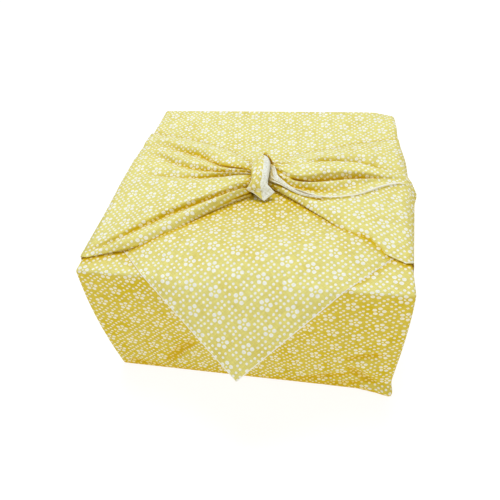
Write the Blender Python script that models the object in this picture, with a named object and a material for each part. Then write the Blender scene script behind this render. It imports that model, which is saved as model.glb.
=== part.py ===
"""Furoshiki wrap: one square of printed cotton folded round a box and tied on top.

Metres, +Z up. The origin is the centre of the flat underside and the front face looks towards -Y.
The whole cloth is one piece, so it is one solid: the filled body, the hanging corner, the two
pleated wings that come up the sides, and the knot, joined by Boolean unions.
"""

import bmesh
import bpy
import numpy as np
from mathutils import Vector

mm = 0.001

# The wrapped box, outside the cloth
width = 210.0 * mm
depth = 201.0 * mm
height = 113.7 * mm
edge_radius = 2.6 * mm
top_dish = 1.6 * mm

# Slack of the cloth beyond the box, half way up each upright edge, and along the foot of the front
left_front_slack = 3.8 * mm
left_back_slack = 2.5 * mm
right_front_slack = 1.4 * mm
right_back_slack = 2.0 * mm
back_slack = 4.0 * mm
foot_slack = 2.0 * mm

# The corner of the cloth that hangs over the front
flap_reach = 62.3 * mm
flap_centre = 3.6 * mm
flap_lift = 39.4 * mm
flap_thickness = 2.0 * mm
flap_on_top = 84.0 * mm
hem_step = 1.0 * mm

# Middle of that corner, from the tip to the knot: way from the tip, then y behind the front face and
# height above the top, in mm; it stands clear of the straight line and of the top
flap_crest = (
    # way   back   height
    (0.0, -39.4, -48.3),
    (21.0, -27.0, -31.2),
    (43.0, -14.0, -13.7),
    (58.0, -4.0, -2.2),
    (72.0, 7.5, 4.8),
    (87.0, 22.5, 7.1),
    (103.0, 38.5, 5.1),
    (120.0, 55.5, 1.8),
    (147.0, 82.5, 0.3),
)

# The wings stand this far into the body, so that the union has something to hold
rooting = 4.0 * mm

# Knot
knot_centre = Vector((3.0, -0.5, 7.5)) * mm
knot_radii = (11.0, 12.0, 9.5)
strap_thickness = 4.0 * mm

half_width = width / 2
half_depth = depth / 2

# Wings: distance of each station from the middle of the top, in mm
wing_stations = (2, 10, 30, 50, 70, 90, 105)

# Fold lines of the left wing from the back to the front: y, then height above the top, in mm,
# and how far each stands out from the side below the edge
left_folds = (
    # name            y at each station                      height at each station              side
    ("rear foot",     (10, 17, 33, 42, 49, 55, 59),          (-4, -4, -4, -4, -4, -4, -4),       -1.5),
    ("rear ridge",    (6.5, 10, 24, 32, 39.5, 44, 43),       (9, 11, 10, 9, 8.5, 7, 3),          3.2),
    ("rear valley",   (5, 7, 12, 21, 30, 38, 40.5),          (6, 6, 5, 4, 3.5, 3, 1.5),          2.0),
    ("second ridge",  (4, 5, 6, 11.5, 21, 30.5, 33),         (8, 10, 8.5, 7.5, 7, 5, 3),         3.0),
    ("second valley", (3, 3.5, 2.5, 6, 13, 24, 27),          (7, 8, 6, 4.5, 4, 3, 1.5),          1.8),
    ("third ridge",   (2, 2, -1.5, -1, 6, 16, 18),           (9, 11, 9, 7.5, 7, 5, 3),           2.6),
    ("third valley",  (0, -0.5, -4, -6, -3.5, 1.5, 3),       (8, 9, 6.5, 4.5, 4, 3, 2),          1.4),
    ("crest",         (-3, -3.5, -8.5, -11.5, -10, -4, -2),  (9, 12, 10, 8, 7, 5, 3),            1.6),
    ("broad face",    (-7, -10.5, -22, -31, -37, -41, -42),  (9, 11.5, 10.5, 8.5, 7.5, 5, 3),    1.2),
    ("broad valley",  (-9, -13.5, -26.5, -42, -57, -67, -69), (7, 8, 6, 5, 4.5, 3.5, 2.5),       1.0),
    ("roll",          (-12, -19.5, -37, -57, -68, -78, -83), (7, 10, 10, 9.5, 8.5, 6, 3.5),    1.2),
    ("low edge",      (-15, -23.5, -43, -63.5, -77, -84, -86), (4, 5, 4.6, 6, 5.4, 3, 1.5),          1.0),
    ("tuck",          (-13, -20.5, -40, -60.5, -74, -81, -83), (-4, -4, -4, -4, -4, -4, -4),     -1.5),
)

# Fold lines of the right wing, with the long pleat whose pale hem ends in a leaf-shaped tip
right_folds = (
    ("rear foot",     (14, 23, 38, 45.5, 53, 58, 61.5),      (-4, -4, -4, -4, -4, -4, -4),       -1.5),
    ("rear edge",     (12, 20, 35, 42.5, 50, 55, 58.5),      (3, 2.6, 2.2, 2, 1.8, 1.8, 1.4),    1.6),
    ("rear ridge",    (9, 15, 23, 28, 32, 32.5, 31),         (6, 7, 5, 5, 5, 4, 2),              4.0),
    ("rear valley",   (8, 12.5, 18.5, 23, 26, 24.5, 23.5),   (5, 5, 3, 2.5, 2.5, 2, 1.5),        3.2),
    ("leaf top",      (6, 9.5, 13, 16, 14, 12, 7),           (8, 8.5, 8, 8, 8, 6, 3),            5.0),
    ("lobe",          (3, 4.5, 5.5, 7.5, 8, 7.5, 5.5),       (9, 9, 8.5, 8, 7.5, 5.5, 3),        5.6),
    ("deep valley",   (0, 0, 0, 2, 5, 5, 4.5),               (7, 6, 3.5, 3, 3.5, 4, 2.8),        5.2),
    ("middle ridge",  (-3, -6, -8.5, -7.5, -3, 0.5, 3.5),    (8, 8, 7, 6.5, 6, 5, 3),            6.2),
    ("leaf valley",   (-5, -8, -13.5, -14.5, -10, -3, 2.5),  (7, 6.5, 4, 3.5, 4, 4.5, 2.8),      6.0),
    ("pale hem",      (-7, -9.5, -16.5, -24, -21, -6.5, 1.5), (7, 8, 6.5, 6, 6, 5, 3),           6.8),
    ("under hem",     (-8, -10.5, -18, -25.5, -22.5, -8, 0), (5, 5, 4, 4.2, 4.6, 4, 2.4),      6.4),
    ("front face",    (-9.5, -13, -23, -35, -43, -45, -45),  (5, 5, 4.2, 4.6, 5.4, 4.4, 2.5),      4.6),
    ("low edge",      (-11, -16, -27, -42, -57, -71, -77.5), (4, 4, 3.2, 3.6, 4.8, 3.8, 1.8),    1.0),
    ("tuck",          (-9, -13, -24, -39, -54, -68, -74.5),  (-4, -4, -4, -4, -4, -4, -4),       -1.5),
)

# How a wing goes over the edge and down the side: drop below the top in mm, share of the fold's
# standing out, and share of the widening to the full depth at the foot
side_run = (
    # drop  relief  widening
    (-1.0, 0.15, 0.0),
    (3.0, 0.85, 0.03),
    (9.0, 1.0, 0.08),
    (24.0, 0.9, 0.21),
    (48.0, 0.65, 0.43),
    (78.0, 0.45, 0.70),
    (104.0, 0.30, 0.93),
    (110.0, 0.15, 0.98),
    (112.4, -0.5, 1.0),
)

# Strap over the knot: middle line x, y and height above the top, then half width, in mm
strap_run = (
    # x     y      height  half width
    (4.4, 12.5, 3.0, 7.5),
    (4.2, 13.2, 9.0, 7.2),
    (3.8, 9.5, 14.5, 7.4),
    (3.2, 3.5, 16.8, 7.2),
    (3.0, -3.5, 16.2, 6.9),
    (3.2, -9.0, 12.6, 6.4),
    (3.4, -13.0, 8.8, 6.6),
    (3.7, -17.6, 6.4, 10.6),
    (5.6, -22.6, 4.6, 5.4),
    (7.3, -27.0, 3.6, 0.9),
)

# Loop that leads from the knot to the pale hem of the right wing
loop_run = (
    (6.0, 6.0, 6.0, 6.0),
    (10.5, 1.5, 9.5, 6.5),
    (13.8, -3.5, 8.5, 5.5),
    (17.0, -8.0, 7.0, 4.0),
    (24.0, -13.0, 5.5, 2.6),
    (34.0, -18.0, 4.0, 1.6),
)

# Short end that stands up behind the knot
upper_end_run = (
    (3.0, 9.0, 3.0, 6.0),
    (4.0, 14.0, 5.5, 6.0),
    (4.8, 19.0, 7.5, 4.6),
    (4.4, 24.5, 8.5, 0.8),
)

# Creases of the front face: ends as x, z, then depth (a ridge is negative) and half width, in mm
front_creases = (
    # x0    z0   x1    z1   depth  half width
    (72.0, 41.0, 93.0, 50.0, 1.4, 2.4),
    (74.0, 30.0, 98.0, 7.0, 1.6, 2.6),
    (80.0, 36.0, 100.0, 22.0, -1.2, 4.0),
    (94.0, 10.0, 103.0, 3.0, -1.6, 3.0),
    (-62.0, 13.0, -38.0, 44.0, 1.2, 4.0),
    (-56.0, 12.0, -34.0, 36.0, -1.0, 3.5),
)

# Where the body's surface is cut into a grid, as shares of the half size, closer at the creases
grid_x = (-0.86, -0.72, -0.58, -0.46, -0.34, -0.2, -0.06, 0.08, 0.22, 0.36, 0.5, 0.6, 0.68, 0.74,
          0.8, 0.86, 0.91)
grid_y = (-0.86, -0.7, -0.54, -0.38, -0.2, 0.0, 0.2, 0.4, 0.6, 0.8)
grid_z = (-0.8, -0.66, -0.54, -0.42, -0.3, -0.18, -0.04, 0.2, 0.5, 0.8)


def smooth_through(places, values, at):
    """Smooth curve through the table's values, along the first axis, that never swings past them."""
    places = np.asarray(places, dtype=float)
    values = np.asarray(values, dtype=float)
    at = np.asarray(at, dtype=float)
    steps = np.diff(places).reshape((-1,) + (1,) * (values.ndim - 1))
    rises = np.diff(values, axis=0) / steps
    slopes = np.empty_like(values)
    slopes[0] = rises[0]
    slopes[-1] = rises[-1]
    before = rises[:-1]
    after = rises[1:]
    product = before * after
    total = np.where(np.abs(before + after) < 1e-12, 1.0, before + after)
    slopes[1:-1] = np.where(product > 0, 2 * product / total, 0.0)
    span = np.clip(np.searchsorted(places, at, side="right") - 1, 0, len(places) - 2)
    shape = (-1,) + (1,) * (values.ndim - 1)
    length = (places[span + 1] - places[span]).reshape(shape)
    t = ((at - places[span])).reshape(shape) / length
    low = values[span] * (1 + 2 * t) * (1 - t) ** 2 + slopes[span] * length * t * (1 - t) ** 2
    high = values[span + 1] * t * t * (3 - 2 * t) - slopes[span + 1] * length * t * t * (1 - t)
    return low + high


def new_object(name, bm):
    """Object from a bmesh, in triangles whose faces are turned outwards."""
    bmesh.ops.triangulate(bm, faces=bm.faces)
    bmesh.ops.recalc_face_normals(bm, faces=bm.faces)
    mesh = bpy.data.meshes.new(name)
    bm.to_mesh(mesh)
    bm.free()
    made = bpy.data.objects.new(name, mesh)
    bpy.context.scene.collection.objects.link(made)
    return made


def shell(name, outer, inner):
    """Closed solid between two grids of points with the same rows and columns."""
    bm = bmesh.new()
    rows, columns = outer.shape[:2]
    sides = [[[bm.verts.new(grid[i, j]) for j in range(columns)] for i in range(rows)]
             for grid in (outer, inner)]
    for side in sides:
        for i in range(rows - 1):
            for j in range(columns - 1):
                bm.faces.new((side[i][j], side[i + 1][j], side[i + 1][j + 1], side[i][j + 1]))
    rim = [(i, 0) for i in range(rows)]
    rim += [(rows - 1, j) for j in range(1, columns)]
    rim += [(i, columns - 1) for i in range(rows - 2, -1, -1)]
    rim += [(0, j) for j in range(columns - 2, 0, -1)]
    for here, after in zip(rim, rim[1:] + rim[:1]):
        bm.faces.new((sides[0][here[0]][here[1]], sides[0][after[0]][after[1]],
                      sides[1][after[0]][after[1]], sides[1][here[0]][here[1]]))
    return new_object(name, bm)


def band(name, run, thickness, facing, divisions=3):
    """Flat, round-edged band along a run of x, y, height and half width; facing is its first outside."""
    table = np.array(run)
    along = np.linspace(0, len(run) - 1, divisions * (len(run) - 1) + 1)
    x, y, lift, half = smooth_through(range(len(run)), table, along).T * mm
    middle = np.stack([x, y, height + lift], axis=1)
    forward = np.gradient(middle, axis=0)
    forward /= np.linalg.norm(forward, axis=1, keepdims=True)
    normal = np.empty_like(forward)
    outside = np.array(facing, dtype=float)
    for k, heading in enumerate(forward):
        outside = outside - heading * (outside @ heading)
        outside /= np.linalg.norm(outside)
        normal[k] = outside
    across = np.cross(forward, normal)
    turn = np.linspace(0, 2 * np.pi, 12, endpoint=False)
    crown = 0.18
    bm = bmesh.new()
    rings = []
    for k in range(len(along)):
        ring = []
        for angle in turn:
            sideways = np.cos(angle) * half[k]
            depth_here = np.sin(angle) * min(thickness / 2, half[k])
            arch = -crown * sideways ** 2 / (half[k] + 1e-9)
            ring.append(bm.verts.new(middle[k] + across[k] * sideways + normal[k] * (depth_here + arch)))
        rings.append(ring)
    for first, second in zip(rings, rings[1:]):
        for k in range(len(turn)):
            after = (k + 1) % len(turn)
            bm.faces.new((first[k], first[after], second[after], second[k]))
    bm.faces.new(rings[0])
    bm.faces.new(rings[-1])
    return new_object(name, bm)


def crease_offset(x, z):
    """How far the front face is pushed in at x, z by its creases."""
    offset = 0.0
    for x0, z0, x1, z1, crease_depth, half in front_creases:
        start = np.array((x0, z0)) * mm
        run = np.array((x1 - x0, z1 - z0)) * mm
        from_start = np.array((x, z)) - start
        share = float(np.clip(from_start @ run / (run @ run), 0, 1))
        away = np.linalg.norm(from_start - share * run) / (half * mm)
        offset += crease_depth * mm * np.exp(-away ** 2) * (0.35 + 0.65 * np.sin(np.pi * share))
    return offset


def side_slack(sign, y, z):
    """How far the cloth of one side stands beyond the box, z counted from the foot."""
    front, rear = left_front_slack, left_back_slack
    if sign > 0:
        front, rear = right_front_slack, right_back_slack
    rise = 2 * z / height - 1
    return (front + (rear - front) * (1 + y / half_depth) / 2) * np.maximum(0, 1 - rise ** 2)


def shape_body(point):
    """A point of the plain box moved to the rounded, slightly slack outside of the cloth."""
    half = Vector((half_width, half_depth, height / 2))
    core = Vector([max(-h + edge_radius, min(h - edge_radius, c)) for h, c in zip(half, point)])
    out = (point - core)
    point = core + out.normalized() * edge_radius
    x_share = point.x / half_width
    y_share = point.y / half_depth
    z_share = point.z / half.z
    if out.z > 0:
        point.z -= top_dish * max(0.0, (1 - x_share ** 2) * (1 - y_share ** 2))
    if out.y < 0 and abs(out.y) >= abs(out.z):
        point.y += crease_offset(point.x, point.z + half.z)
    point.x += side_slack(np.sign(x_share), point.y, point.z + half.z) * x_share ** 3
    point.y += back_slack * max(0.0, y_share) - foot_slack * max(0.0, -y_share) * (1 - z_share) / 2
    return point


def make_body():
    """The filled body: a rounded box with a dished top and a creased front."""
    bm = bmesh.new()
    bmesh.ops.create_cube(bm, size=1)
    bmesh.ops.scale(bm, vec=(width, depth, height), verts=bm.verts)
    half = (half_width, half_depth, height / 2)
    for axis, shares in enumerate((grid_x, grid_y, grid_z)):
        normal = Vector([float(k == axis) for k in range(3)])
        inset = (edge_radius, edge_radius * 0.586)
        places = [share * half[axis] for share in shares]
        places += [sign * (half[axis] - step) for step in inset for sign in (-1, 1)]
        for place in places:
            everything = bm.verts[:] + bm.edges[:] + bm.faces[:]
            bmesh.ops.bisect_plane(bm, geom=everything, plane_co=normal * place, plane_no=normal)
    for vert in bm.verts:
        vert.co = shape_body(vert.co.copy()) + Vector((0, 0, half[2]))
    return new_object("furoshiki", bm)


def flap_surface(spread, reach):
    """Point of the hanging corner: spread is -1 to 1 between the hems, reach the way from the tip."""
    drop = np.sqrt(flap_reach ** 2 - flap_lift ** 2)
    tip = np.array((-half_depth - flap_lift, height - drop))
    edge = np.array((-half_depth, height + hem_step))
    if reach < flap_reach:
        hem = tip + (edge - tip) * reach / flap_reach
    else:
        hem = edge + np.array((reach - flap_reach, 0.0))
    crest = np.array(flap_crest) * mm
    middle = smooth_through(crest[:, 0], crest[:, 1:], [reach])[0] + (-half_depth, height)
    share = 1 - spread ** 2
    y, z = hem + (middle - hem) * share
    x = flap_centre + spread * min(reach, half_width - 2 * edge_radius)
    return np.array((x, y, z))


def make_flap():
    """The corner that comes over the top and hangs out over the front, filled where it lies."""
    spreads = np.linspace(-1, 1, 19)
    reaches = np.concatenate([np.linspace(1.2 * mm, flap_reach, 12),
                              np.linspace(flap_reach + 4 * mm, flap_reach + flap_on_top, 9)])
    outer = np.array([[flap_surface(spread, reach) for spread in spreads] for reach in reaches])
    along = np.gradient(outer, axis=0)
    across = np.gradient(outer, axis=1)
    normal = np.cross(across, along)
    normal /= np.linalg.norm(normal, axis=2, keepdims=True)
    inner = outer - normal * flap_thickness
    past_edge = (reaches - flap_reach)[:, None]
    rooted = outer.copy()
    rooted[:, :, 1] = rooting - half_depth + np.maximum(past_edge, 0)
    rooted[:, :, 2] = height - top_dish - rooting + np.minimum(past_edge, 0) * 0.8
    share = np.clip((reaches - flap_reach * 0.84) / (flap_reach * 0.14), 0, 1)[:, None, None]
    return shell("flap", outer, inner + (rooted - inner) * share)


def make_wing(name, folds, sign):
    """A corner of the cloth drawn up one side and gathered into the knot, with all its pleats."""
    stations = np.array(wing_stations) * mm
    fine = np.concatenate([np.linspace(a, b, n, endpoint=False) for a, b, n in
                           zip(stations[:-1], stations[1:], (2, 3, 3, 3, 3, 3))] + [[half_width - 4 * mm]])
    y = smooth_through(stations, np.array([row[1] for row in folds]).T * mm, fine).T
    lift = smooth_through(stations, np.array([row[2] for row in folds]).T * mm, fine).T
    x = np.broadcast_to(sign * fine, y.shape)
    top = np.stack([x, y, height + lift], axis=2)
    proud = np.array([row[3] for row in folds]) * mm
    last_y = y[:, -1]
    foot_y = np.interp(last_y, (last_y[-2], last_y[0]), (-1.0, 1.0)) * (half_depth - edge_radius)
    columns = []
    for drop, relief, widening in side_run:
        level = height - drop * mm + (lift[:, -1] * 0.5 if drop < 0 else 0.0)
        side_y = last_y + (foot_y - last_y) * widening
        out = half_width + side_slack(sign, side_y, level) + np.where(proud > 0, proud * relief, proud)
        columns.append(np.stack([sign * out, side_y, np.broadcast_to(level, out.shape)], axis=1))
    outer = np.concatenate([top, np.stack(columns, axis=1)], axis=1)
    rails = np.arange(len(folds))
    across = np.linspace(0, len(folds) - 1, 2 * (len(folds) - 1) + 1)
    outer = smooth_through(rails, outer, across)
    inner = outer.copy()
    share = np.linspace(0.06, 0.94, len(across))[:, None]
    inner[:, :, 1] = outer[0, :, 1] + (outer[-1, :, 1] - outer[0, :, 1]) * share
    level = height - top_dish - rooting
    drops = np.array([row[0] for row in side_run])
    inner[:, :, 0] = sign * (half_width - rooting)
    inner[:, :len(fine), 0] = sign * fine * (half_width - 2 * rooting) / fine[-1]
    inner[:, :len(fine), 2] = level
    inner[:, len(fine):, 2] = level - 1 * mm - (drops - drops[0]) / np.ptp(drops) * (level - 6 * mm)
    return shell(name, outer, inner)


def make_knot_core():
    """The rounded lump inside the knot."""
    bm = bmesh.new()
    bmesh.ops.create_uvsphere(bm, u_segments=16, v_segments=10, radius=1)
    bmesh.ops.scale(bm, vec=[r * mm for r in knot_radii], verts=bm.verts)
    bmesh.ops.translate(bm, vec=knot_centre + Vector((0, 0, height)), verts=bm.verts)
    return new_object("knot_core", bm)


def cotton():
    """Material of the cloth."""
    material = bpy.data.materials.new("printed_cotton")
    material.use_nodes = True
    shader = material.node_tree.nodes["Principled BSDF"]
    shader.inputs["Base Color"].default_value = (0.76, 0.64, 0.16, 1)
    shader.inputs["Roughness"].default_value = 0.9
    shader.inputs["Metallic"].default_value = 0.0
    return material


def join(base, piece):
    """Union of a piece with the base; the piece itself stays as a hidden guide."""
    union = base.modifiers.new(piece.name, "BOOLEAN")
    union.operation = "UNION"
    union.solver = "EXACT"
    union.object = piece
    piece.hide_render = True
    piece.display_type = "WIRE"


def main():
    for old in list(bpy.data.objects):
        bpy.data.objects.remove(old, do_unlink=True)
    furoshiki = make_body()
    furoshiki.data.materials.append(cotton())
    join(furoshiki, make_flap())
    join(furoshiki, make_wing("left_wing", left_folds, -1))
    join(furoshiki, make_wing("right_wing", right_folds, 1))
    join(furoshiki, make_knot_core())
    join(furoshiki, band("strap", strap_run, strap_thickness, (0, 1, 0)))
    join(furoshiki, band("loop", loop_run, strap_thickness, (0, 0, 1)))
    join(furoshiki, band("upper_end", upper_end_run, strap_thickness * 0.6, (0, 0, 1)))


main()
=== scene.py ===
import math

import bpy
import numpy as np
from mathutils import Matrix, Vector
from mathutils.bvhtree import BVHTree


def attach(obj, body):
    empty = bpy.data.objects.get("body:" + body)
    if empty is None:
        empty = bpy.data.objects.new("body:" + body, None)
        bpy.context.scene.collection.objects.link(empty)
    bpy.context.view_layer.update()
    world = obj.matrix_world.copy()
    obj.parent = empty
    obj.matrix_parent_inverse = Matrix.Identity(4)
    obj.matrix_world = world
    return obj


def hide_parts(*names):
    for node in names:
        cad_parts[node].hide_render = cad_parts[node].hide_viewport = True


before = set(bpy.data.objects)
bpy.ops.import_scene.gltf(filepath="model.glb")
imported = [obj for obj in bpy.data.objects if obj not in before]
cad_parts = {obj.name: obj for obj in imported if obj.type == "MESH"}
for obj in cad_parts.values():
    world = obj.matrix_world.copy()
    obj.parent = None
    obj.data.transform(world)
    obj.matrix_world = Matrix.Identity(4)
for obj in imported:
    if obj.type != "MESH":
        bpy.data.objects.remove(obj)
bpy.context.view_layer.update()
mm = 0.001

# The wrapped box and the square cloth, in mm; all tables below are in mm too
wrap = {
    "width": 210.0,
    "depth": 201.0,
    "height": 113.7,
    "edgeRadius": 2.6,
    "topDish": 1.6,
    "clothThickness": 0.8,
    "halfDiagonal": 478.8,     # from the middle of the cloth to its corner
}
halfWidth = wrap["width"] / 2
halfDepth = wrap["depth"] / 2
top = wrap["height"]


# Shaping helpers
def runThrough(places, values, at, sharp=None):
    # smooth run through the table rows that never swings past them; sharp rows keep a crease
    places = np.asarray(places, dtype=float)
    values = np.asarray(values, dtype=float)
    at = np.asarray(at, dtype=float)
    wide = (-1,) + (1,) * (values.ndim - 1)
    rises = np.diff(values, axis=0) / np.diff(places).reshape(wide)
    slopes = np.concatenate([rises[:1], np.zeros_like(rises[1:]), rises[-1:]])
    product = rises[:-1] * rises[1:]
    total = rises[:-1] + rises[1:]
    total = np.where(np.abs(total) < 1e-12, 1.0, total)
    slopes[1:-1] = np.where(product > 0, 2 * product / total, 0.0)
    leaving = slopes[:-1].copy()
    arriving = slopes[1:].copy()
    if sharp is not None:
        crease = np.asarray(sharp, dtype=float).reshape(wide)
        leaving += (rises * 1.2 - leaving) * crease[:-1]
        arriving += (rises * 1.2 - arriving) * crease[1:]
    span = np.clip(np.searchsorted(places, at, side="right") - 1, 0, len(places) - 2)
    length = (places[span + 1] - places[span]).reshape(wide)
    t = (at - places[span]).reshape(wide) / length
    early = values[span] * (1 + 2 * t) * (1 - t) ** 2 + leaving[span] * length * t * (1 - t) ** 2
    late = values[span + 1] * t * t * (3 - 2 * t) - arriving[span] * length * t * t * (1 - t)
    return early + late


def lengthAlong(points, axis):
    # running length of a grid's lines along one axis
    steps = np.linalg.norm(np.diff(points, axis=axis), axis=2)
    start = np.zeros_like(np.take(steps, [0], axis=axis))
    return np.concatenate([start, np.cumsum(steps, axis=axis)], axis=axis)


def only(piece):
    bpy.ops.object.select_all(action="DESELECT")
    piece.select_set(True)
    bpy.context.view_layer.objects.active = piece


def giveThickness(piece, thickness):
    only(piece)
    wall = piece.modifiers.new("cloth", "SOLIDIFY")
    wall.thickness = thickness * mm
    wall.offset = -1                    # the printed side stays where it is
    wall.material_offset = 1            # the inner side is the pale reverse
    wall.material_offset_rim = 1
    bpy.ops.object.modifier_apply(modifier=wall.name)


def makeSheet(name, points, cloth, outside, marks=None, thickness=None):
    # sheet of cloth through a grid of points; cloth is each point's place on the flat cloth
    rows, columns = points.shape[:2]
    index = np.arange(rows * columns).reshape(rows, columns)
    corners = (index[:-1, :-1], index[:-1, 1:], index[1:, 1:], index[1:, :-1])
    middle = np.cross(points[1:, 1:] - points[:-1, :-1], points[1:, :-1] - points[:-1, 1:]).sum((0, 1))
    if middle @ np.array(outside) < 0:
        corners = corners[::-1]
    faces = np.stack(corners, axis=-1).reshape(-1, 4)
    mesh = bpy.data.meshes.new(name)
    mesh.from_pydata((points.reshape(-1, 3) * mm).tolist(), [], faces.tolist())
    layer = mesh.uv_layers.new(name="cloth")
    layer.data.foreach_set("uv", (cloth.reshape(-1, 2)[faces.ravel()] * mm).ravel())
    # hemline marks the pale hem; the other two attributes carry painted shade
    for mark in ("hemline", "paintedShade", "paintedValleyShade"):
        values = (marks or {}).get(mark, np.zeros((rows, columns)))
        mesh.attributes.new(mark, "FLOAT", "POINT").data.foreach_set("value",
                values.astype(float).ravel())
    piece = bpy.data.objects.new(name, mesh)
    bpy.context.scene.collection.objects.link(piece)
    for finish in (printedCotton, clothReverse):
        mesh.materials.append(finish)
    giveThickness(piece, thickness or wrap["clothThickness"])
    bpy.ops.object.shade_smooth_by_angle(angle=math.radians(100))
    return piece


def settle(piece):
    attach(piece, "root")
    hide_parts("furoshiki")


# Finishes
printLook = {
    "ground": (0.79, 0.735, 0.25),        # light yellow cotton
    "groundShadeAndBlotch": (0.655, 0.487, 0.018),    # painted shade of the yellow; also the tone of the random soft patches
    "groundFoldShade": (0.64, 0.415, 0.003),    # painted shade of the yellow deep in a fold
    "creviceShadeColour": (0.28, 0.135, 0.005),      # painted dark shade at the tight bottom of a fold
    "white": (0.91, 0.93, 0.88),
    # the white print under painted shade, and deeper in a fold
    "whiteShaded": (0.86, 0.81, 0.60),
    "whiteFoldShade": (0.84, 0.69, 0.27),
    "reverse": (0.89, 0.91, 0.84),
    "reverseMottle": (0.66, 0.66, 0.44),
    # painted shade on the pale reverse
    "reverseShaded": (0.58, 0.46, 0.15),
    "hemColour": (0.95, 0.94, 0.83),
    "foldShadeSpan": (0.88, 1.04),             # painted shade over which the yellow turns to the painted fold shade
    "creviceShadeSpan": (1.05, 1.7),           # and over which it turns to the painted crevice shade
    "reverseShadeSpan": (0.35, 1.1),           # the same painted shade span for the reverse
    "repeatLong": 26.2,                   # mm between rows of flowers, along the bias
    "repeatShort": 18.2,
    "petalRing": 2.92,                    # petal centres from the flower's middle
    "petalRadius": 1.3,
    "flowerTurn": 0.035,                  # all flowers stand the same way up
    "eyeRadius": 0.66,
    "dotRadius": 0.86,
    "dotStep": (3.275, 3.033),
    "dotClear": 6.0,                      # no dot's centre is nearer to a flower than this
    "blotches": 0.24,                     # share of the deep yellow in soft patches
}


def wire(tree, socket, value):
    if value is None:
        return
    if isinstance(value, bpy.types.NodeSocket):
        tree.links.new(value, socket)
    else:
        socket.default_value = value


def calc(tree, operation, first, second=None, third=None):
    node = tree.nodes.new("ShaderNodeMath")
    node.operation = operation
    for socket, value in zip(node.inputs, (first, second, third)):
        wire(tree, socket, value)
    return node.outputs[0]


def blendColours(tree, factor, first, second, kind="MIX"):
    node = tree.nodes.new("ShaderNodeMix")
    node.data_type = "RGBA"
    node.blend_type = kind
    wire(tree, node.inputs["Factor"], factor)
    for name, value in (("A", first), ("B", second)):
        socket = [s for s in node.inputs if s.name == name and s.type == "RGBA"][0]
        wire(tree, socket, (*value, 1) if isinstance(value, tuple) else value)
    return [s for s in node.outputs if s.type == "RGBA"][0]


def softStep(tree, value, low, high):
    node = tree.nodes.new("ShaderNodeMapRange")
    node.interpolation_type = "SMOOTHSTEP"
    for socket, number in zip(node.inputs, (value, low, high, 0.0, 1.0)):
        wire(tree, socket, number)
    return node.outputs[0]


def noise(tree, vector, scale, detail=2.0, roughness=0.5):
    node = tree.nodes.new("ShaderNodeTexNoise")
    wire(tree, node.inputs["Vector"], vector)
    node.inputs["Scale"].default_value = scale
    node.inputs["Detail"].default_value = detail
    node.inputs["Roughness"].default_value = roughness
    return node.outputs["Fac"]


def stretched(tree, vector, scale):
    node = tree.nodes.new("ShaderNodeVectorMath")
    node.operation = "MULTIPLY"
    wire(tree, node.inputs[0], vector)
    node.inputs[1].default_value = scale
    return node.outputs[0]


def nearestFlower(tree, along, across):
    # place relative to the nearest flower of the centred rectangular repeat
    long, short = printLook["repeatLong"], printLook["repeatShort"]
    found = []
    for shift in (0.0, 0.5):
        local = []
        for value, step in ((along, long), (across, short)):
            cells = calc(tree, "ADD", calc(tree, "DIVIDE", value, step), 0.5 + shift)
            inside = calc(tree, "MULTIPLY", calc(tree, "SUBTRACT", calc(tree, "FRACT", cells), 0.5),
                    step)
            local += [inside, calc(tree, "FLOOR", cells)]
        squares = calc(tree, "ADD", calc(tree, "MULTIPLY", local[0], local[0]),
                       calc(tree, "MULTIPLY", local[2], local[2]))
        found.append((squares, local[0], local[2], local[1], local[3]))
    first, second = found
    pick = calc(tree, "LESS_THAN", first[0], second[0])
    picked = [calc(tree, "MULTIPLY_ADD", pick, calc(tree, "SUBTRACT", a, b), b)
              for a, b in zip(first, second)]
    return picked + [pick]


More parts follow.
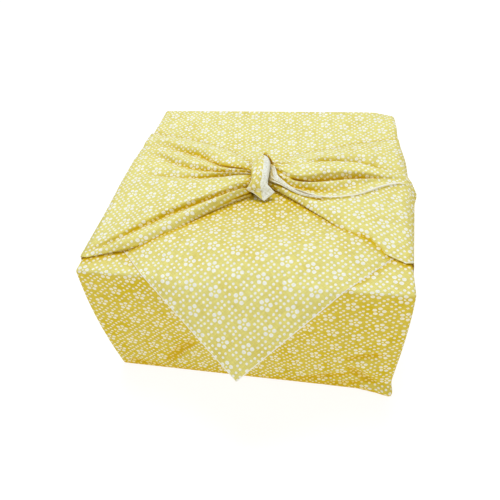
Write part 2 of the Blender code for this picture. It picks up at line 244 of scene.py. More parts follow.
def plumPrint():
    # node group: white plum blossoms and dots; takes the place on the cloth, gives the white's share
    tree = bpy.data.node_groups.new("plumBlossomPrint", "ShaderNodeTree")
    tree.interface.new_socket(name="Bias", in_out="INPUT", socket_type="NodeSocketVector")
    tree.interface.new_socket(name="White", in_out="OUTPUT", socket_type="NodeSocketFloat")
    entry = tree.nodes.new("NodeGroupInput").outputs["Bias"]
    parts = tree.nodes.new("ShaderNodeSeparateXYZ")
    wire(tree, parts.inputs[0], entry)
    along, across = parts.outputs[0], parts.outputs[1]
    ragged = calc(tree, "MULTIPLY", calc(tree, "SUBTRACT", noise(tree, entry, 1.7, 2.0), 0.5), 0.55)

    squares, x, y, columnId, rowId, which = nearestFlower(tree, along, across)
    seed = tree.nodes.new("ShaderNodeCombineXYZ")
    for socket, value in zip(seed.inputs, (columnId, rowId, which)):
        wire(tree, socket, value)
    chance = tree.nodes.new("ShaderNodeTexWhiteNoise")
    wire(tree, chance.inputs["Vector"], seed.outputs[0])
    radius = calc(tree, "SQRT", squares)
    sway = calc(tree, "MULTIPLY_ADD", chance.outputs["Value"], 0.024, printLook["flowerTurn"])
    turn = calc(tree, "ADD", calc(tree, "DIVIDE", calc(tree, "ARCTAN2", y, x), 2 * math.pi), sway)
    sector = calc(tree, "SUBTRACT", calc(tree, "FRACT", calc(tree, "MULTIPLY", turn, 5.0)), 0.5)
    angle = calc(tree, "MULTIPLY", sector, 2 * math.pi / 5)
    out = calc(tree, "SUBTRACT", calc(tree, "MULTIPLY", radius, calc(tree, "COSINE", angle)),
               printLook["petalRing"])
    side = calc(tree, "MULTIPLY", radius, calc(tree, "SINE", angle))
    petal = calc(tree, "SQRT", calc(tree, "ADD", calc(tree, "MULTIPLY", out, out),
                                    calc(tree, "MULTIPLY", side, side)))
    petal = calc(tree, "ADD", petal, ragged)
    petals = softStep(tree, petal, printLook["petalRadius"] + 0.12, printLook["petalRadius"] - 0.12)
    eye = softStep(tree, radius, printLook["eyeRadius"] + 0.12, printLook["eyeRadius"] - 0.12)

    stepAlong, stepAcross = printLook["dotStep"]
    dots = tree.nodes.new("ShaderNodeTexVoronoi")
    dots.voronoi_dimensions = "2D"
    wire(tree, dots.inputs["Vector"], stretched(tree, entry, (1 / stepAlong, 1 / stepAcross, 1)))
    dots.inputs["Scale"].default_value = 1.0
    dots.inputs["Randomness"].default_value = 0.27
    site = stretched(tree, dots.outputs["Position"], (stepAlong, stepAcross, 0))
    siteParts = tree.nodes.new("ShaderNodeSeparateXYZ")
    wire(tree, siteParts.inputs[0], site)
    fromFlower = nearestFlower(tree, siteParts.outputs[0], siteParts.outputs[1])[0]
    keep = calc(tree, "GREATER_THAN", fromFlower, printLook["dotClear"] ** 2)
    gap = []
    for here, there in ((along, siteParts.outputs[0]), (across, siteParts.outputs[1])):
        difference = calc(tree, "SUBTRACT", here, there)
        gap.append(calc(tree, "MULTIPLY", difference, difference))
    fromDot = calc(tree, "ADD", calc(tree, "SQRT", calc(tree, "ADD", gap[0], gap[1])), ragged)
    dot = softStep(tree, fromDot, printLook["dotRadius"] + 0.12, printLook["dotRadius"] - 0.12)
    dot = calc(tree, "MULTIPLY", dot, keep)
    white = calc(tree, "MAXIMUM", calc(tree, "MAXIMUM", petals, eye), dot)
    leave = tree.nodes.new("NodeGroupOutput")
    wire(tree, leave.inputs["White"], white)
    return tree


def cottonFinish(name, printGroup, reverse=False):
    finish = bpy.data.materials.new(name)
    finish.use_nodes = True
    tree = finish.node_tree
    shader = tree.nodes["Principled BSDF"]
    shader.inputs["Roughness"].default_value = 0.92
    shader.inputs["Specular IOR Level"].default_value = 0.1
    shader.inputs["Sheen Weight"].default_value = 0.04
    shader.inputs["Sheen Roughness"].default_value = 0.5
    place = tree.nodes.new("ShaderNodeUVMap")
    place.uv_map = "cloth"
    bias = tree.nodes.new("ShaderNodeMapping")          # metres along the box to mm along the threads
    bias.inputs["Scale"].default_value = (1000, 1000, 1000)
    bias.inputs["Rotation"].default_value = (0, 0, math.radians(-45))
    wire(tree, bias.inputs["Vector"], place.outputs["UV"])
    threads = bias.outputs["Vector"]

    group = tree.nodes.new("ShaderNodeGroup")
    group.node_tree = printGroup
    wire(tree, group.inputs["Bias"], threads)
    white = group.outputs["White"]

    warp = noise(tree, stretched(tree, threads, (1.5, 0.12, 1)), 1.0, 2.0, 0.65)
    weft = noise(tree, stretched(tree, threads, (0.12, 1.5, 1)), 1.0, 2.0, 0.65)
    weave = calc(tree, "ADD", warp, weft)
    cloud = noise(tree, threads, 0.035, 3.0)
    patches = softStep(tree, noise(tree, threads, 0.055, 2.0), 0.47, 0.72)

    parts = tree.nodes.new("ShaderNodeSeparateXYZ")
    wire(tree, parts.inputs[0], place.outputs["UV"])
    fromMiddle = calc(tree, "ADD", calc(tree, "ABSOLUTE", parts.outputs[0]),
                      calc(tree, "ABSOLUTE", parts.outputs[1]))
    toHem = calc(tree, "MULTIPLY", calc(tree, "SUBTRACT", wrap["halfDiagonal"] * mm, fromMiddle), 707.1)
    hemEdge = softStep(tree, toHem, 0.75, 0.4)
    hemStitch = calc(tree, "MULTIPLY", softStep(tree, toHem, 2.7, 3.0), softStep(tree, toHem, 3.6, 3.3))
    hemline = tree.nodes.new("ShaderNodeAttribute")
    hemline.attribute_name = "hemline"
    paintedShade = tree.nodes.new("ShaderNodeAttribute")
    paintedShade.attribute_name = "paintedShade"

    if reverse:
        mottle = softStep(tree, noise(tree, threads, 0.7, 3.0, 0.6), 0.42, 0.7)
        ground = blendColours(tree, calc(tree, "MULTIPLY", mottle, 0.8), printLook["reverse"],
                              printLook["reverseMottle"])
        # painted shade on the reverse, from the shade attribute
        deep = calc(tree, "MULTIPLY", softStep(tree, paintedShade.outputs["Fac"],
                *printLook["reverseShadeSpan"]), 0.9)
        ground = blendColours(tree, deep, ground, printLook["reverseShaded"])
        ground = blendColours(tree, calc(tree, "MULTIPLY", white, 0.25), ground, printLook["white"])
    else:
        # painted shade from the shade attribute, plus random soft patches of deeper yellow; the white print
        # darkens with it, and the deepest painted shade turns to a dark crevice colour
        deep = calc(tree, "MULTIPLY_ADD", patches, printLook["blotches"], paintedShade.outputs["Fac"])
        ground = blendColours(tree, deep, printLook["ground"], printLook["groundShadeAndBlotch"])
        foldShade = softStep(tree, paintedShade.outputs["Fac"], *printLook["foldShadeSpan"])
        ground = blendColours(tree, foldShade, ground, printLook["groundFoldShade"])
        paint = blendColours(tree, paintedShade.outputs["Fac"], printLook["white"], printLook["whiteShaded"])
        paint = blendColours(tree, foldShade, paint, printLook["whiteFoldShade"])
        ground = blendColours(tree, calc(tree, "MULTIPLY", white, 0.95), ground, paint)
        creviceShade = softStep(tree, paintedShade.outputs["Fac"], *printLook["creviceShadeSpan"])
        ground = blendColours(tree, creviceShade, ground, printLook["creviceShadeColour"])
    tone = calc(tree, "ADD", calc(tree, "MULTIPLY_ADD", weave, 0.44, 0.52),
                calc(tree, "MULTIPLY", cloud, 0.08))
    shade = tree.nodes.new("ShaderNodeCombineColor")
    for socket in shade.inputs[:3]:
        wire(tree, socket, tone)
    ground = blendColours(tree, 1.0, ground, shade.outputs[0], "MULTIPLY")
    pale = calc(tree, "MAXIMUM", hemEdge, hemline.outputs["Fac"])
    colour = blendColours(tree, calc(tree, "MULTIPLY", pale, 0.9), ground, printLook["hemColour"])
    wire(tree, shader.inputs["Base Color"], colour)

    relief = calc(tree, "SUBTRACT", calc(tree, "MULTIPLY", weave, 0.10),
                  calc(tree, "MULTIPLY", hemStitch, 0.25))
    bump = tree.nodes.new("ShaderNodeBump")
    bump.inputs["Strength"].default_value = 0.6
    bump.inputs["Distance"].default_value = 1.0 * mm
    wire(tree, bump.inputs["Height"], relief)
    wire(tree, shader.inputs["Normal"], bump.outputs["Normal"])
    return finish


plumBlossom = plumPrint()
printedCotton = cottonFinish("printedCotton", plumBlossom)
clothReverse = cottonFinish("clothReverse", plumBlossom, reverse=True)
print("cotton finishes made")


# The cloth round the box
boxCloth = {
    "leftSlack": (3.8, 2.5),       # front and back edge, half way up
    "rightSlack": (1.4, 2.0),
    "backSlack": 4.0,
    "footSlack": 2.0,
    "cornerTuft": (2.2, 3.4),      # the folded corner at the right front foot, sideways and forward
    "ripple": 0.35,                # unevenness of the drawn cloth
    "creaseShade": 0.36,           # painted shade in a crease, per mm of its depth
    "footShade": 0.5,              # and painted shade along the foot
    "cornerSag": (3.4, 9.0),       # the top's right rear corner sinks, this far round it
    "creases": (                   # x0, z0, x1, z1, depth, half width; a ridge is negative
        (72, 41, 93, 50, 1.6, 2.4), (74, 30, 98, 7, 1.8, 2.6), (80, 36, 100, 22, -1.2, 4.0),
        (94, 10, 103, 3, -1.6, 3.0), (-62, 13, -38, 44, 1.4, 4.0), (-56, 12, -34, 36, -1.0, 3.5),
        (40, 8, 78, 22, 0.9, 3.0), (44, 14, 70, 30, -0.6, 3.0), (-96, 8, -72, 5, 0.8, 2.5),
        (56, 3, 92, 14, 1.0, 2.0),
    ),
}


def sideSlack(sign, y, z):
    front, rear = boxCloth["rightSlack"] if sign > 0 else boxCloth["leftSlack"]
    rise = 2 * z / top - 1
    high = 0.95 + 0.5 * rise if sign > 0 else 1.0
    return (front + (rear - front) * (1 + y / halfDepth) / 2) * np.maximum(0, 1 - rise ** 2) * high


def cornerSag(x, y, z):
    deep, reach = boxCloth["cornerSag"]
    away = (halfWidth - x) ** 2 + (halfDepth + 4 - y) ** 2
    return deep * np.exp(-away / (2 * reach ** 2)) * np.clip((z - 70) / 40, 0, 1)


def creasesAt(x, z):
    offset = np.zeros_like(x)
    for x0, z0, x1, z1, deep, half in boxCloth["creases"]:
        run = np.array((x1 - x0, z1 - z0), dtype=float)
        share = np.clip(((x - x0) * run[0] + (z - z0) * run[1]) / (run @ run), 0, 1)
        away = np.hypot(x - x0 - share * run[0], z - z0 - share * run[1]) / half
        offset += deep * np.exp(-away ** 2) * (0.35 + 0.65 * np.sin(np.pi * share))
    return offset


def uneven(a, b, seed):
    # slow, gentle waves over a face
    return boxCloth["ripple"] * (np.sin(a * 0.061 + b * 0.043 + seed) + np.sin(a * 0.027 - b * 0.088 + 2 * seed)
                                 + 0.6 * np.sin(a * 0.13 + b * 0.11 + 3 * seed)) / 2


def clothOnBox(points):
    # points of the plain box moved to the rounded, slightly slack outside of the cloth
    half = np.array((halfWidth, halfDepth, top / 2))
    radius = wrap["edgeRadius"]
    core = np.clip(points, radius - half, half - radius)
    out = points - core
    length = np.maximum(np.linalg.norm(out, axis=1, keepdims=True), 1e-9)
    shaped = core + out / length * radius
    x, y, z = shaped.T
    xShare, yShare, zShare = x / half[0], y / half[1], z / half[2]
    inner = (1 - xShare ** 2) * (1 - yShare ** 2)
    zNew = z - np.where(out[:, 2] > 0, wrap["topDish"] * np.maximum(0, inner), 0)
    front = (out[:, 1] < 0) & (np.abs(out[:, 1]) >= np.abs(out[:, 2]))
    yNew = y + np.where(front, creasesAt(x, z + half[2]), 0)
    yNew = yNew + np.where(front, uneven(x, z, 1.0), 0) * (1 - zShare ** 8) * (1 - xShare ** 8)
    sign = np.sign(x)
    slack = np.where(sign > 0, sideSlack(1, y, z + half[2]), sideSlack(-1, y, z + half[2]))
    xNew = x + sign * slack * np.abs(xShare) ** 3
    yNew = yNew + boxCloth["backSlack"] * np.maximum(0, yShare) * (1 - 0.12 * np.abs(zShare))
    yNew = yNew - boxCloth["footSlack"] * np.maximum(0, -yShare) * (1 - zShare) / 2
    tuft = np.clip((x - 82) / 20, 0, 1) * np.clip((-78 - y) / 20, 0,
            1) * np.exp(-((z + half[2] - 3) / 7) ** 2)
    xNew = xNew + boxCloth["cornerTuft"][0] * tuft
    yNew = yNew - boxCloth["cornerTuft"][1] * tuft
    zNew = zNew + half[2]
    return np.stack([xNew, yNew, zNew - cornerSag(xNew, yNew, zNew)], axis=1)


def panelPlace(points, normals):
    # place on the flat cloth of points of the plain box, panel by panel
    x, y, z = points.T
    z = z + top / 2
    face = np.argmax(np.abs(normals), axis=1)
    sign = np.sign(np.take_along_axis(normals, face[:, None], 1)[:, 0])
    across = np.where(face == 0, sign * (halfWidth + halfDepth - np.abs(y)), x)
    up = np.select(
        [(face == 2) & (sign < 0), (face == 2), (face == 1) & (sign < 0), (face == 1), y < 0],
        [y, -(halfDepth + top) - (y + halfDepth), -(halfDepth + z), halfDepth + z, -(halfDepth + z)],
        halfDepth + z)
    return np.stack([across, up], axis=1)


def makeBoxCloth():
    bpy.ops.object.select_all(action="DESELECT")
    bpy.ops.mesh.primitive_cube_add(size=1)
    piece = bpy.context.object
    piece.name = "clothRoundBox"
    piece.data.name = "clothRoundBox"
    piece.scale = [wrap[side] * mm for side in ("width", "depth", "height")]
    bpy.ops.object.transform_apply(location=True, rotation=True, scale=True)
    bpy.ops.object.mode_set(mode="EDIT")
    for axis, side in enumerate(("width", "depth", "height")):
        half = wrap[side] / 2
        cuts = list(np.linspace(-half + 6, half - 6, int(wrap[side] / 3.4)))
        cuts += [s * (half - d) for s in (-1, 1) for d in (0.4, 1.1, 1.9, 2.6, 4.0)]
        for cut in cuts:
            place = [cut * mm if k == axis else 0.0 for k in range(3)]
            normal = [float(k == axis) for k in range(3)]
            bpy.ops.mesh.select_all(action="SELECT")
            bpy.ops.mesh.bisect(plane_co=place, plane_no=normal)
    bpy.ops.object.mode_set(mode="OBJECT")
    mesh = piece.data
    plain = np.empty(len(mesh.vertices) * 3)
    mesh.vertices.foreach_get("co", plain)
    plain = plain.reshape(-1, 3) / mm
    loops = np.empty(len(mesh.loops), dtype=int)
    mesh.loops.foreach_get("vertex_index", loops)
    normals = np.repeat(np.array([p.normal[:] for p in mesh.polygons]),
                        [p.loop_total for p in mesh.polygons], axis=0)
    middles = np.repeat(np.array([p.center[:] for p in mesh.polygons]) / mm,
                        [p.loop_total for p in mesh.polygons], axis=0)
    corner = plain[loops]
    corner[:, 1] = np.where(middles[:, 1] < 0, np.minimum(corner[:, 1], -1e-6),
            np.maximum(corner[:, 1], 1e-6))
    for layer in list(mesh.uv_layers):
        mesh.uv_layers.remove(layer)
    mesh.uv_layers.new(name="cloth").data.foreach_set("uv", (panelPlace(corner, normals) * mm).ravel())
    mesh.vertices.foreach_set("co", (clothOnBox(plain) * mm).ravel())
    for mark in ("hemline", "paintedShade", "paintedValleyShade"):
        mesh.attributes.new(mark, "FLOAT", "POINT")
    front = plain[:, 1] < 1 - halfDepth
    rise = plain[:, 2] + top / 2
    # painted shade in the front creases and along the foot
    creaseAndFootShade = np.clip(creasesAt(plain[:, 0], rise) * boxCloth["creaseShade"], 0, 0.36)
    creaseAndFootShade = np.where(front, creaseAndFootShade, 0) + boxCloth["footShade"] * np.exp(-rise / 3.6)
    mesh.attributes["paintedShade"].data.foreach_set("value", creaseAndFootShade)
    for finish in (printedCotton, clothReverse):
        mesh.materials.append(finish)
    mesh.update()
    only(piece)
    bpy.ops.object.shade_smooth()
    giveThickness(piece, wrap["clothThickness"])
    return piece


clothRoundBox = makeBoxCloth()
settle(clothRoundBox)
print("cloth round the box made")


# The far corner, up the back, over the top and out over the front
farCorner = {
    "reach": 62.3,             # from the front edge of the top to the tip
    "centre": 3.6,
    "lift": 39.4,              # how far the tip stands out from the front
    "hemStep": 0.05,
    "thickness": 0.35,
    "crest": (                 # way from the tip, y behind the front, height above the top
        (0, -39.4, -48.3), (21, -27, -31.2), (43, -14, -13.7), (58, -4, -2.2), (72, 7.5, 4.8),
        (87, 22.5, 7.1), (103, 38.5, 5.1), (120, 55.5, 1.8), (147, 82.5, 0.6), (200, 135, -0.2),
        (263.3, 198.4, 0.7),
    ),
    "sideDrop": 0.9,           # how far it folds down a side, per mm from the back
}


def makeFarCorner():
    reach0, centre = farCorner["reach"], farCorner["centre"]
    radius = wrap["edgeRadius"]
    quarter = radius * math.pi / 2
    crest = np.array(farCorner["crest"], dtype=float)
    topEnd = reach0 + wrap["depth"] - radius
    reaches = np.concatenate([np.linspace(0.4, reach0 + 90, 116),
            np.linspace(reach0 + 92.5, topEnd, 44)])
    drop = math.sqrt(reach0 ** 2 - farCorner["lift"] ** 2)
    tip = np.array((-halfDepth - farCorner["lift"], top - drop))
    edge = np.array((-halfDepth, top + farCorner["hemStep"]))
    spreads = np.linspace(-1, 1, 143)
    points, cloth = [], []
    for reach in reaches:
        if reach < reach0:
            hem = tip + (edge - tip) * reach / reach0
        else:
            past = reach - reach0
            sink = 0.4 * min(1, past / 60) - 0.9 * min(1, max(0, past - 110) / 45)
            hem = edge + np.array((past, -sink))
        middle = runThrough(crest[:, 0], crest[:, 1:], [reach])[0] + (-halfDepth, top)
        toBack = max(0.0, topEnd - reach)
        side = quarter + min(farCorner["sideDrop"] * toBack, 40.0)
        side = side if toBack < 62 else quarter + 6
        limits = [max(centre - reach, -(halfWidth - radius) - side),
                min(centre + reach, halfWidth - radius + side)]
        share = np.maximum(0, 1 - spreads ** 2)
        run = np.where(spreads < 0, centre + (limits[0] - centre) * -spreads,
                centre + (limits[1] - centre) * spreads)
        y, z = (hem[None] + (middle - hem)[None] * share[:, None]).T
        past = np.maximum(0, np.abs(run) - (halfWidth - radius))
        around = np.minimum(past / radius, math.pi / 2)
        lip = radius + 0.5
        x = np.sign(run) * (np.minimum(np.abs(run), halfWidth - radius) + lip * np.sin(around))
        hang = np.maximum(0, past - quarter)
        level = np.where(past > 0, top + 0.5 - lip * (1 - np.cos(around)) - hang, z)
        x = x + np.sign(run) * sideSlack(1, y, level) * np.where(hang > 0, 1, 0) * np.where(run > 0,
                1.0, 1.6)
        level = level + np.where((past == 0) & (reach > reach0 + 60), uneven(run, y, 2.0) * share, 0)
        points.append(np.stack([x, y, level], axis=1))
        cloth.append(np.stack([run - centre, np.full_like(run, wrap["halfDiagonal"] - reach)], axis=1))
    # over the back edge and down the back
    last = points[-1]
    flatLast = np.clip(last[:, 0], -(halfWidth - radius), halfWidth - radius)
    backRows = [(radius * a, None) for a in (0.4, 0.8, 1.2, math.pi / 2)]
    backRows += [(None, d) for d in np.linspace(2, top - radius - 2, 34)]
    for arc, down in backRows:
        if arc is not None:
            angle = arc / radius
            y = halfDepth - radius + (radius + 0.5) * math.sin(angle)
            z = top - radius + (radius + 0.5) * math.cos(angle)
            way = topEnd + arc
        else:
            y = halfDepth + 0.5
            z = top - radius - down
            way = topEnd + quarter + down
        share = 1 - (flatLast / halfWidth) ** 2
        x = flatLast + np.sign(flatLast) * np.where(flatLast > 0, sideSlack(1, halfDepth, z),
                                                    sideSlack(-1, halfDepth,
                                                            z)) * (np.abs(flatLast) / halfWidth) ** 3
        zShare = 2 * z / top - 1
        ys = y + boxCloth["backSlack"] * (1 - 0.12 * abs(zShare)) * np.ones_like(x)
        if arc is None:
            ys = ys + uneven(x, z, 3.0) * share * max(0, 1 - zShare ** 6)
        points.append(np.stack([x, ys, np.full_like(x, z)], axis=1))
        cloth.append(np.stack([flatLast - centre, np.full_like(x, wrap["halfDiagonal"] - way)], axis=1))
    points = np.array(points)
    # the top's back strip follows the slack back edge
    strip = points[:, :, 1]
    blend = np.clip((strip - halfDepth + 50) / 48, 0, 1)
    onTop = np.arange(len(points)) < len(reaches)
    points[:, :, 1] += np.where(onTop[:, None], blend * boxCloth["backSlack"] * 0.88, 0)
    points[:, :, 2] -= cornerSag(points[:, :, 0], points[:, :, 1], points[:, :, 2])
    return points, np.array(cloth)


farPoints, farPlaces = makeFarCorner()
hangingCorner = makeSheet("hangingCorner", farPoints, farPlaces, (0, -0.3, 1), None,
        farCorner["thickness"])
settle(hangingCorner)
print("hanging corner made")


# The two wings, drawn up the sides and gathered into the knot
leftWing = {
    "stations": (2, 10, 30, 50, 70, 90, 105),
    "thickness": 0.55,
    "start": "crest",          # fold from which the print is measured
    "paintedValleyShade": {                # painted shade in a valley: its depth, its half width, and from and to along the wing
        "rear valley": (1.0, 4.2, -5, 104), "second valley": (0.95, 3.2, -5, 102),
            "third valley": (0.9, 2.4, -5, 98),
        "broad valley": (1.0, 4.2, -5, 116), "low edge": (0.75, 1.3, -5, 110),
    },
    "folds": (
        # name, y at each station, height at each station, proud at the side, crease, painted crevice shade as
        # far as
        ("rear tuck", (5, 14, 34, 43, 50, 55, 58), (-1, -1, -1, -1, -1, -1, -1), -1.5, 0.0, 0),
        ("rear edge", (8, 17, 37, 46, 53, 58, 61.5), (5, 3.2, 1.4, 1.1, 1.0, 1.0, 1.0), 0.8, 0.6, 0),
        ("rear ridge", (0.6, 9.4, 23.4, 33, 39.4, 45.4, 43.6), (9.5, 9.5, 7, 5.2, 4.6, 4.4, 2.5),
            2.6, 0.0, 0),
        ("rear valley", (-1.6, 2.2, 10.1, 25.1, 33.6, 41.3, 37), (8, 7.6, 4.6, 2.2, 2.4, 2.8, 1.4),
            1.8, 0.85, (-3, 54)),
        ("second ridge", (-2.6, -1.4, 2.8, 11, 19.8, 27.9, 27.3), (9.5, 10, 8, 6.6, 5.4, 4.4, 3.0),
            3.0, 0.2, 0),
        ("second valley", (-3.4, -3.2, 1.4, 6.2, 14.5, 24.6, 23),
            (8.4, 8.6, 5.6, 3.4, 3.2, 3.4, 2.6), 3.4, 0.8, 0),
        ("third ridge", (-4.6, -4.8, -2.6, -1.7, 4, 13, 17.7), (9.5, 10, 7.8, 6.4, 5.6, 5.2, 4.4),
            5.0, 0.2, 0),
        ("third valley", (-5.1, -5.6, -3.9, -5, -3.7, -1.2, 2.1),
            (8.6, 8.8, 5.4, 3.8, 3.8, 4.2, 3.8), 5.2, 0.8, 0),
        ("crest", (-10.2, -10.6, -12.2, -14.8, -13.3, -11.1, -8.2), (10, 11, 9, 7.5, 6.6, 5.4, 4.0),
            4.6, 0.0, 0),
        ("broad face", (-13.4, -16.8, -22.6, -32, -41, -49, -53),
            (9.2, 10.6, 8.7, 7.7, 6.6, 3.8, 1.2), 0.9, 0.0, 0),
        ("brink", (-16.2, -18.8, -28, -39.9, -57, -73.6, -82), (8.8, 9.9, 8.5, 7.7, 6.8, 3.6, 1.0),
            0.6, 0.3, 0),
        ("broad valley", (-17, -20.2, -30.2, -42.8, -60.4, -76.4, -85),
            (7.2, 6.8, 4.8, 4, 4, 2.4, 0.8), 0.5, 0.8,
         (-3, 24)),
        ("roll", (-19.4, -23.6, -38.6, -57, -72, -82.2, -88), (8, 9.6, 8.8, 8.3, 7.2, 3.8, 1.0),
            0.5, 0.1, 0),
        ("low edge", (-20.9, -26.2, -42.6, -64.0, -78.4, -85.5, -90.7),
            (4.5, 4.6, 3.6, 3.0, 2.4, 1.5, 0.7), 0.4, 0.7,
         (-3, 22)),
        ("tuck", (-19, -24, -40.5, -61.5, -76, -83.5, -88.5), (-1, -1, -1, -1, -1, -1, -1), -1.5,
            0.0, 0),
    ),
}
rightWing = {
    "stations": (2, 10, 30, 50, 70, 90, 105),
    "thickness": 0.55,
    "start": "lobe",
    "paintedValleyShade": {
        "rear valley": (1.0, 3.4, 38, 112), "deep valley": (0.9, 3.4, 16, 104),
            "leaf valley": (1.0, 3.4, 18, 84),
        "under hem": (0.6, 1.2, -5, 110), "low edge": (0.6, 1.2, -5, 110),
    },
    "folds": (
        ("rear tuck", (12, 19, 34, 41.5, 49, 54, 57.5), (-1, -1, -1, -1, -1, -1, -1), -1.5, 0.0, 0),
        ("rear edge", (13.5, 20, 35, 42.5, 50, 55, 58.5), (3, 2.2, 1.2, 1.0, 1.0, 1.0, 1.0), 1.0,
            0.6, 0),
        ("rear ridge", (12, 13.6, 20.4, 26, 30.5, 30, 27.5), (8, 7.6, 5.4, 5.4, 6, 5, 2.5), 5.0, 0.2, 0),
        ("rear valley", (11.2, 11.6, 16.8, 21.4, 21.5, 16, 13), (7, 6.8, 5.0, 2.8, 1.6, 1.5, 1.3),
            5.0, 0.7, 0),
        ("leaf top", (9.5, 8.6, 12.4, 16, 15.2, 9.8, 9), (9, 9, 8.4, 8, 7.8, 6.4, 3.0), 6.6, 0.6, 0),
        ("lobe", (7.5, 5.6, 4.2, 7.4, 8, 6.4, 7), (10, 10.5, 10, 9.5, 9, 7, 3.4), 7.6, 0.0, 0),
        ("lobe brink", (5.6, 3.6, -4.2, 1.6, 4.2, 3.4, 5.2), (9.8, 10.4, 9, 8.4, 8, 6.4, 3.3), 8.0,
            0.4, 0),
        ("deep valley", (4.6, 2.6, -6.2, -0.6, 2, 1.6, 3.8), (9.4, 9.8, 6.2, 1.8, 2.2, 4.2, 2.8),
            7.6, 0.75, (24, 50)),
        ("middle ridge", (2.2, -0.4, -10.6, -8.8, -4.1, -0.6, 2.2), (9, 9.6, 8, 7, 6.6, 5.4, 3.1),
            8.8, 0.3, 0),
        ("leaf valley", (-0.6, -4.2, -13.6, -14, -8.5, -3, 0.8), (8.6, 8.4, 4.8, 3.4, 4.6, 4.9, 3),
            8.8, 0.5, 0),
        ("pale hem", (-3.4, -8.2, -17.2, -23.2, -20, -8.5, -0.6), (8, 8, 6.6, 5.8, 5.8, 5.2, 3.2),
            9.6, 0.9, 0),
        ("under hem", (-4.2, -9, -17.9, -23.9, -20.6, -9.2, -1.4), (6.4, 6, 4.2, 4, 4.4, 4.2, 2.5),
            8.4, 0.5, 0),
        ("front face", (-6, -11, -22, -33, -40, -42, -42), (7, 6.6, 5.2, 5, 5.2, 4.0, 1.6), 4.4, 0.0, 0),
        ("low edge", (-7.6, -12, -25.4, -41, -56.3, -70.8, -78.8), (5, 4.2, 2.6, 2, 1.5, 1.0, 0.6),
            0.7, 0.75, 0),
        ("tuck", (-5, -8, -21, -37, -52, -66, -74), (-1, -1, -1, -1, -1, -1, -1), -1.5, 0.0, 0),
    ),
}
sideRun = (
    # drop  relief  widening
    (-1.0, 0.15, 0.0), (3.0, 0.85, 0.03), (9.0, 1.0, 0.08), (24.0, 0.9, 0.21), (48.0, 0.65, 0.43),
    (78.0, 0.45, 0.70), (104.0, 0.30, 0.93), (110.0, 0.15, 0.98), (112.4, -0.5, 1.0),
)


def makeWing(name, wing, sign):
    folds = wing["folds"]
    stations = np.array(wing["stations"], dtype=float)
    fine = np.linspace(2, halfWidth - 4, 64)
    y = runThrough(stations, np.array([row[1] for row in folds], dtype=float).T, fine).T
    lift = runThrough(stations, np.array([row[2] for row in folds], dtype=float).T, fine).T
    x = np.broadcast_to(sign * fine, y.shape)
    upper = np.stack([x, y, top + lift], axis=2)
    proud = np.array([row[3] for row in folds])
    lastY, lastLift = y[:, -1], lift[:, -1]
    footY = np.interp(lastY, (lastY[-2], lastY[1]), (-1.0, 1.0)) * (halfDepth - wrap["edgeRadius"])
    run = np.array(sideRun)
    drops = np.concatenate([[-1.0, 1.0, 3.0, 6.0], np.linspace(9, 112.4, 38)])
    relief, widening = runThrough(run[:, 0], run[:, 1:], drops).T
    columns = []
    for drop, share, wide in zip(drops, relief, widening):
        level = top - drop + (lastLift * 0.5 if drop < 0 else 0.0)
        sideY = lastY + (footY - lastY) * wide
        out = halfWidth + sideSlack(sign, sideY, level) + np.where(proud > 0, proud * share, proud)
        columns.append(np.stack([sign * out, sideY, np.broadcast_to(level, out.shape)], axis=1))
    rails = np.concatenate([upper, np.stack(columns, axis=1)], axis=1)
    across = np.concatenate([np.linspace(k, k + 1,
            9)[:-1] for k in range(len(folds) - 1)] + [[len(folds) - 1]])
    crease = np.array([row[4] for row in folds])
    points = runThrough(np.arange(len(folds)), rails, across, crease)
    # small pleats that fade away from the knot
    ripple = np.sin(across * 9.4 + 0.6)[:, None] * np.exp(-(fine - 2) / 26)[None]
    inner = np.clip(np.minimum(across - 1.5, len(folds) - 2.5 - across), 0, 1)[:, None]
    points[:, :len(fine), 2] += 0.55 * ripple * inner
    drift = np.sin(across[:, None] * 2.1 + fine[None] * 0.07) + np.sin(across[:,
            None] * 3.7 - fine[None] * 0.11)
    points[:, :len(fine), 2] += 0.22 * drift * inner
    names = [row[0] for row in folds]
    start = names.index(wing["start"]) * 8
    arcs = lengthAlong(points, 0)
    up = arcs - arcs[start] - points[start, :, 1][None]
    spent = np.concatenate([[0], np.cumsum(np.linalg.norm(np.diff(points[start], axis=0), axis=1))])
    out = wrap["width"] + top - sign * points[start, 0, 0] - spent
    cloth = np.stack([np.broadcast_to(sign * out, up.shape), -up], axis=2)
    deep = np.zeros(points.shape[:2])
    for k, row in enumerate(folds):
        if row[5]:             # painted dark shade at the tight bottom of a crevice near the knot
            start, end = row[5]
            away = np.abs(arcs - arcs[k * 8])[:, :len(fine)]
            fade = np.clip((fine - start) / 3, 0, 1) * np.clip((end - fine) / (0.6 * (end - start)),
                    0, 1)
            deep[:, :len(fine)] += 0.95 * np.exp(-(away / (0.45 + 0.5 * fade[None])) ** 2) * fade[None]
    # painted shade along the valleys
    valleyShade = np.zeros(points.shape[:2])
    for valley, (amount, half, start, end) in wing["paintedValleyShade"].items():
        away = np.abs(arcs - arcs[names.index(valley) * 8])[:, :len(fine)]
        fade = np.clip((fine - start) / 12, 0, 1) * np.clip((end - fine) / 40, 0, 1)
        valleyShade[:, :len(fine)] = np.maximum(valleyShade[:, :len(fine)],
                amount * np.exp(-(away / half) ** 2) * fade[None])
    hem = np.zeros(points.shape[:2])
    if "pale hem" in names:
        k = names.index("pale hem")
        near = np.clip(1.9 - np.abs(arcs - arcs[k * 8]), 0, 1)
        hem[:, :len(fine)] = (near * (across[:, None] > k - 1.2) * (across[:, None] < k + 0.3))[:,
                :len(fine)]
    marks = {"paintedShade": deep, "hemline": hem, "paintedValleyShade": valleyShade}
    piece = makeSheet(name, points, cloth, (sign * 0.6, 0, 1), marks, wing["thickness"])
    settle(piece)
    return piece


leftWingCloth = makeWing("leftWing", leftWing, -1)
rightWingCloth = makeWing("rightWing", rightWing, 1)
print("wings made")


